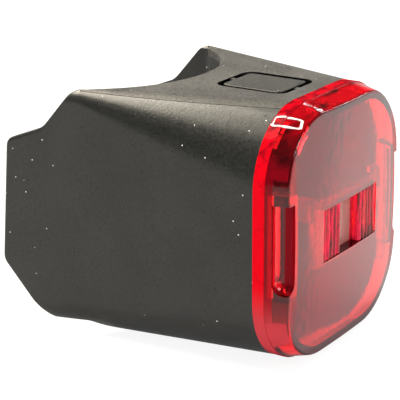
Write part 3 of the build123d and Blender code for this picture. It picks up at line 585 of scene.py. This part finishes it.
# %% [markdown]
# ## Metal parts
# The switch's cover and the charging socket are stamped and nickel-plated, the screws are
# zinc-plated, and the cell is wrapped in an aluminium laminate pouch. Plated steel keeps the fine
# lines of its rolled sheet, which are coarser here than in truth so that they show, and the pouch
# is softly crinkled. Both could be modelled, but a noise in the bump, stretched for the lines, is
# enough at this size.


# %% Recipe for plated sheet and the pouch
def metal(name, hex_code, roughness, line_mm, depth_mm, stretch=(1, 1, 1)):
    """Bare or plated metal with fine lines or crinkles, stretched along an axis if asked."""
    material, tree, place = start_material(name)
    drawn_out = add_node(tree, "ShaderNodeMapping", {"Vector": place, "Scale": stretch})
    fine = {"Vector": drawn_out, "Scale": 1 / (line_mm * MM), "Detail": 3.0}
    lines = add_node(tree, "ShaderNodeTexNoise", fine)
    gloss = {
        "Value": lines,
        "From Min": NOISE_LOW,
        "From Max": NOISE_HIGH,
        "To Min": roughness - 0.05,
        "To Max": roughness + 0.08,
    }
    relief = {"Strength": 0.8, "Distance": depth_mm * MM, "Height": lines}
    bare_metal = {
        "Base Color": hex_code,
        "Metallic": 1.0,
        "Roughness": add_node(tree, "ShaderNodeMapRange", gloss),
        "Normal": add_node(tree, "ShaderNodeBump", relief),
    }
    shader = add_node(tree, "ShaderNodeBsdfPrincipled", bare_metal)
    add_node(tree, "ShaderNodeOutputMaterial", {"Surface": shader})
    return material


nickel = metal("nickel_plated_steel", "#c3c1bb", 0.28, 0.5, 0.004, (1, 1, 0.1))
dress(nickel, "charge_port", "tact_switch")
zinc = metal("zinc_plated_steel", "#a9abb0", 0.34, 0.3, 0.006)
dress(zinc, "led_board_screws", "board_screws", "cradle_screws")
dress(metal("aluminium_laminate", "#cfd2d4", 0.32, 3.0, 0.08), "battery_cell")

# %% [markdown]
# ## Rubber, foam and cradle
# The pad, the seals and the flap are moulded silicone and rubber: dark, soft and with almost no
# shine. The foam pad is closed-cell foam, whose cut cells show as small pits, so its bump is deep.
# The cradle is nylon filled with glass fibre, a dull black that the fibres mottle a little. All
# three are the moulded recipe again with a high roughness.

# %% Rubber, foam and cradle
rubber = moulded("matte_black_rubber", "#161616", "#1e1e1d", 0.66, 0.18, 0.012)
dress(rubber, "saddle_pad", "usb_flap", "flap_anchor", "button_seal", "frame_seal")
foam = moulded("grey_closed_cell_foam", "#3a3a3a", "#4b4b4a", 0.85, 0.5, 0.12)
dress(foam, "battery_pad")
cradle_nylon = moulded("glass_filled_nylon", "#121212", "#1d1d1c", 0.5, 0.5, 0.012)
dress(cradle_nylon, "strap_cradle")

# %% [markdown]
# ## Leads of the cell
# One lead is red and the other black, both covered in silicone, which is soft and slightly dull.
# Two materials could dress them, but they are one piece in the frame, so the colour changes half
# way between them.

# %% Leads with red and black covers
lead_cover, tree, place = start_material("red_and_black_silicone")
lead_low, lead_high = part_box("battery_leads")
lead_split = (lead_low[1] + lead_high[1]) / 2
depth = add_node(tree, "ShaderNodeSeparateXYZ", {"Vector": place}).outputs["Y"]
which = add_node(tree, "ShaderNodeMath", {0: depth, 1: lead_split}, operation="GREATER_THAN")
fine = add_node(tree, "ShaderNodeTexNoise", {"Vector": place, "Scale": 1 / (0.3 * MM)})
two_colours = {"Fac": which, "Color1": "#b3121a", "Color2": "#171717"}
soft = {"Strength": 0.5, "Distance": 0.01 * MM, "Height": fine}
silicone = {
    "Base Color": add_node(tree, "ShaderNodeMixRGB", two_colours),
    "Roughness": 0.5,
    "IOR": 1.41,
    "Normal": add_node(tree, "ShaderNodeBump", soft),
}
lead_skin = add_node(tree, "ShaderNodeBsdfPrincipled", silicone)
add_node(tree, "ShaderNodeOutputMaterial", {"Surface": lead_skin})
dress(lead_cover, "battery_leads")

# %% [markdown]
# ## Floor
# The light stands on a white table, which keeps a faint shadow. A plain white sheet would need far
# stronger lamps to look as white as the table does, so most of its white is a glow. Its underside
# is left clear, so that the light can be looked at from below.

# %% Floor
TABLE_HALF = 3.0  # so wide that its edge is never in view
floor_mesh = bpy.data.meshes.new("floor")
shape = bmesh.new()
bmesh.ops.create_grid(shape, x_segments=1, y_segments=1, size=TABLE_HALF)
shape.to_mesh(floor_mesh)
shape.free()
floor = bpy.data.objects.new("floor", floor_mesh)
bpy.context.scene.collection.objects.link(floor)
print("floor:", 2 * TABLE_HALF, "m wide,", len(floor_mesh.polygons), "face")

# %% [markdown]
# A photographer sets dark cards beside glossy things, so that their sides don't mirror a white
# table. Real cards could stand here too, but they would show in other views, so the table itself
# is dimmed in reflections: most of all at the picture's left, which keeps the shell's side dark,
# and less at its right, which lays the pale veil on the lens's face. Right under the light it has
# a painted shadow that only reflections show.


# %% Brightness of the floor in reflections
def kinds_of_look(tree):
    """Masks for what is seen directly or through clear plastic, and for what is mirrored."""
    ray = add_node(tree, "ShaderNodeLightPath").outputs
    direct = mask(tree, ray["Is Camera Ray"], ray["Is Transmission Ray"], how="MAXIMUM")
    return direct, ray["Is Glossy Ray"]


RIGHTWARD = (0.6, -0.8, 0.0)  # along the table, from the picture's left to its right
DIM_LEVEL, CARD_LEVEL = 0.54, 0.72
paper, tree, place = start_material("white_paper")
direct, mirrored = kinds_of_look(tree)
place_and_right = {0: place, 1: RIGHTWARD}
right_of = add_node(tree, "ShaderNodeVectorMath", place_and_right, operation="DOT_PRODUCT")
graded = mask(tree, (right_of.outputs["Value"], -60 * MM, 75 * MM), strength=CARD_LEVEL)
card = add_node(tree, "ShaderNodeMath", {0: graded, 1: DIM_LEVEL}, operation="MAXIMUM")
where = add_node(tree, "ShaderNodeSeparateXYZ", {"Vector": place}).outputs
across = add_node(tree, "ShaderNodeMath", {0: where["X"]}, operation="ABSOLUTE")
along = add_node(tree, "ShaderNodeMath", {0: where["Y"]}, operation="ABSOLUTE")
# Painted shadow under the light, seen only in reflections.
painted_shadow_under = mask(tree, (across, 26 * MM, 21 * MM), (along, 31 * MM, 27 * MM), strength=0.6)
table_beside_painted_shadow = add_node(tree, "ShaderNodeMath", {0: 1.0, 1: painted_shadow_under}, operation="SUBTRACT")
in_mirrors = mask(tree, mirrored, card, table_beside_painted_shadow)
print("floor in reflections:", DIM_LEVEL, "to", CARD_LEVEL)

# %% White paper
WHITE_LEVEL = 1.12
GLOW_SHARE = 0.8  # the rest is lit by the lamps and keeps the shadow
level = add_node(tree, "ShaderNodeMath", {0: direct, 1: in_mirrors}, operation="ADD")
white = {"Color": "#ffffff", "Strength": mask(tree, level, strength=WHITE_LEVEL)}
glow = add_node(tree, "ShaderNodeEmission", white)
sheet = add_node(tree, "ShaderNodeBsdfDiffuse", {"Color": "#f7f7f7"})
glows = mask(tree, direct, mirrored, how="MAXIMUM", strength=GLOW_SHARE)
top_side = add_node(tree, "ShaderNodeMixShader", {0: glows, 1: sheet, 2: glow})
underneath = add_node(tree, "ShaderNodeNewGeometry").outputs["Backfacing"]
nothing = add_node(tree, "ShaderNodeBsdfTransparent")
one_sided = add_node(tree, "ShaderNodeMixShader", {0: underneath, 1: top_side, 2: nothing})
add_node(tree, "ShaderNodeOutputMaterial", {"Surface": one_sided})
floor_mesh.materials.append(paper)
print("floor seen directly:", WHITE_LEVEL)

# %% [markdown]
# ## Room
# The room is plain white where it is seen directly. The light that it sends on the object is a
# little dimmer, so that the lamps shape the forms. In reflections it is nearly black, as between
# dark cards, apart from a glow low down on the light's far side. That keeps the shell and the
# lens's side wall deep, which one even white room wouldn't.

# %% White room
FILL_LEVEL, DARK_LEVEL, GLOW_LEVEL = 0.62, 0.07, 0.9
world = bpy.data.worlds.new("white_room")
bpy.context.scene.world = world
world.use_nodes = True
room = world.node_tree
room.nodes.clear()
direct, mirrored = kinds_of_look(room)
direction = add_node(room, "ShaderNodeTexCoord").outputs["Generated"]
heading = add_node(room, "ShaderNodeSeparateXYZ", {"Vector": direction}).outputs
low_far = mask(room, (heading["Z"], 0.45, 0.15), (heading["X"], -0.2, 0.3), strength=GLOW_LEVEL)
in_mirrors = add_node(room, "ShaderNodeMath", {0: low_far, 1: DARK_LEVEL}, operation="MAXIMUM")
to_white = {"Value": direct, "To Min": FILL_LEVEL, "To Max": 1.0}
fill = add_node(room, "ShaderNodeMapRange", to_white)
by_look = {"Factor": mirrored, "A": fill, "B": in_mirrors}
strength = add_node(room, "ShaderNodeMix", by_look, data_type="FLOAT")
air = add_node(room, "ShaderNodeBackground", {"Color": "#ffffff", "Strength": strength})
add_node(room, "ShaderNodeOutputWorld", {"Surface": air})
print("room: fill", FILL_LEVEL, "and in reflections", DARK_LEVEL, "to", GLOW_LEVEL)

# %% [markdown]
# ## Lamps
# One large soft box overhead draws the warm sheen along the shell's upper corner. Two thin strips
# on the far side draw the fine white lines on the lens's upper edge, and a box in front adds soft
# light to the lens. A picture of a studio could light the scene instead, but lamps can be set one
# by one. Each is given by how bright its face is, and its power follows from its size.

# %% Soft boxes
LAMP_DISTANCE = 0.6
soft_boxes = {
    # name: direction from the light, width, height, brightness, colour
    "overhead_box": ((-0.02, 0.52, 0.83), 0.48, 0.26, 19.0, "#fff5e2"),
    "edge_strip": ((0.80, -0.28, 0.53), 0.05, 0.2, 9.0, "#ffffff"),
    "streak_strip": ((0.80, 0.19, 0.565), 0.02, 0.05, 16.0, "#ffffff"),
    "front_box": ((-0.1, -0.77, 0.6), 0.3, 0.22, 5.0, "#ffffff"),
}
for name, (direction, width, height, brightness, hex_code) in soft_boxes.items():
    lamp = bpy.data.lights.new(name, "AREA")
    lamp.shape = "RECTANGLE"
    lamp.size, lamp.size_y = width, height
    lamp.energy = brightness * math.pi * width * height
    lamp.color = linear(hex_code)[:3]
    holder = bpy.data.objects.new(name, lamp)
    bpy.context.scene.collection.objects.link(holder)
    aim = Vector(direction).normalized()
    holder.location = Vector((0, 0, MID_HEIGHT)) + aim * LAMP_DISTANCE
    holder.rotation_euler = aim.to_track_quat("Z", "Y").to_euler()
    print(name, "watts", round(lamp.energy, 3))

# %% [markdown]
# ## Camera
# The camera stands where the photographer's did. It could be placed by eye, but its direction,
# distance and focal length come from fitting the outlines of the lens, the joint and the wings to
# the photograph, which is the only way to get every line to fall in its place. It aims at the
# joint's middle and is then moved sideways and up, so that the light sits in the frame as it does
# there.

# %% Camera
azimuth, elevation, roll = math.radians(56.75), math.radians(18.22), math.radians(-0.45)
CAMERA_DISTANCE = 0.25
MOVED_LEFT, MOVED_UP = 18.47 * MM, 2.56 * MM
level = math.cos(elevation)
toward = Vector((-math.sin(azimuth) * level, -math.cos(azimuth) * level, math.sin(elevation)))
level_right = Vector((math.cos(azimuth), -math.sin(azimuth), 0))
level_up = toward.cross(level_right)
right = level_right * math.cos(roll) + level_up * math.sin(roll)
up = toward.cross(right)
spot = Vector(joint_middle) + toward * CAMERA_DISTANCE - right * MOVED_LEFT + up * MOVED_UP
camera_data = bpy.data.cameras.new("camera")
camera_data.sensor_width = 36
camera_data.lens = 138.8
camera_data.clip_start = 0.01
camera = bpy.data.objects.new("camera", camera_data)
bpy.context.scene.collection.objects.link(camera)
camera.matrix_world = Matrix.Translation(spot) @ Matrix((right, up, toward)).transposed().to_4x4()
bpy.context.scene.camera = camera
bpy.context.scene.view_settings.view_transform = "Standard"
print("camera at", [round(v, 4) for v in spot])
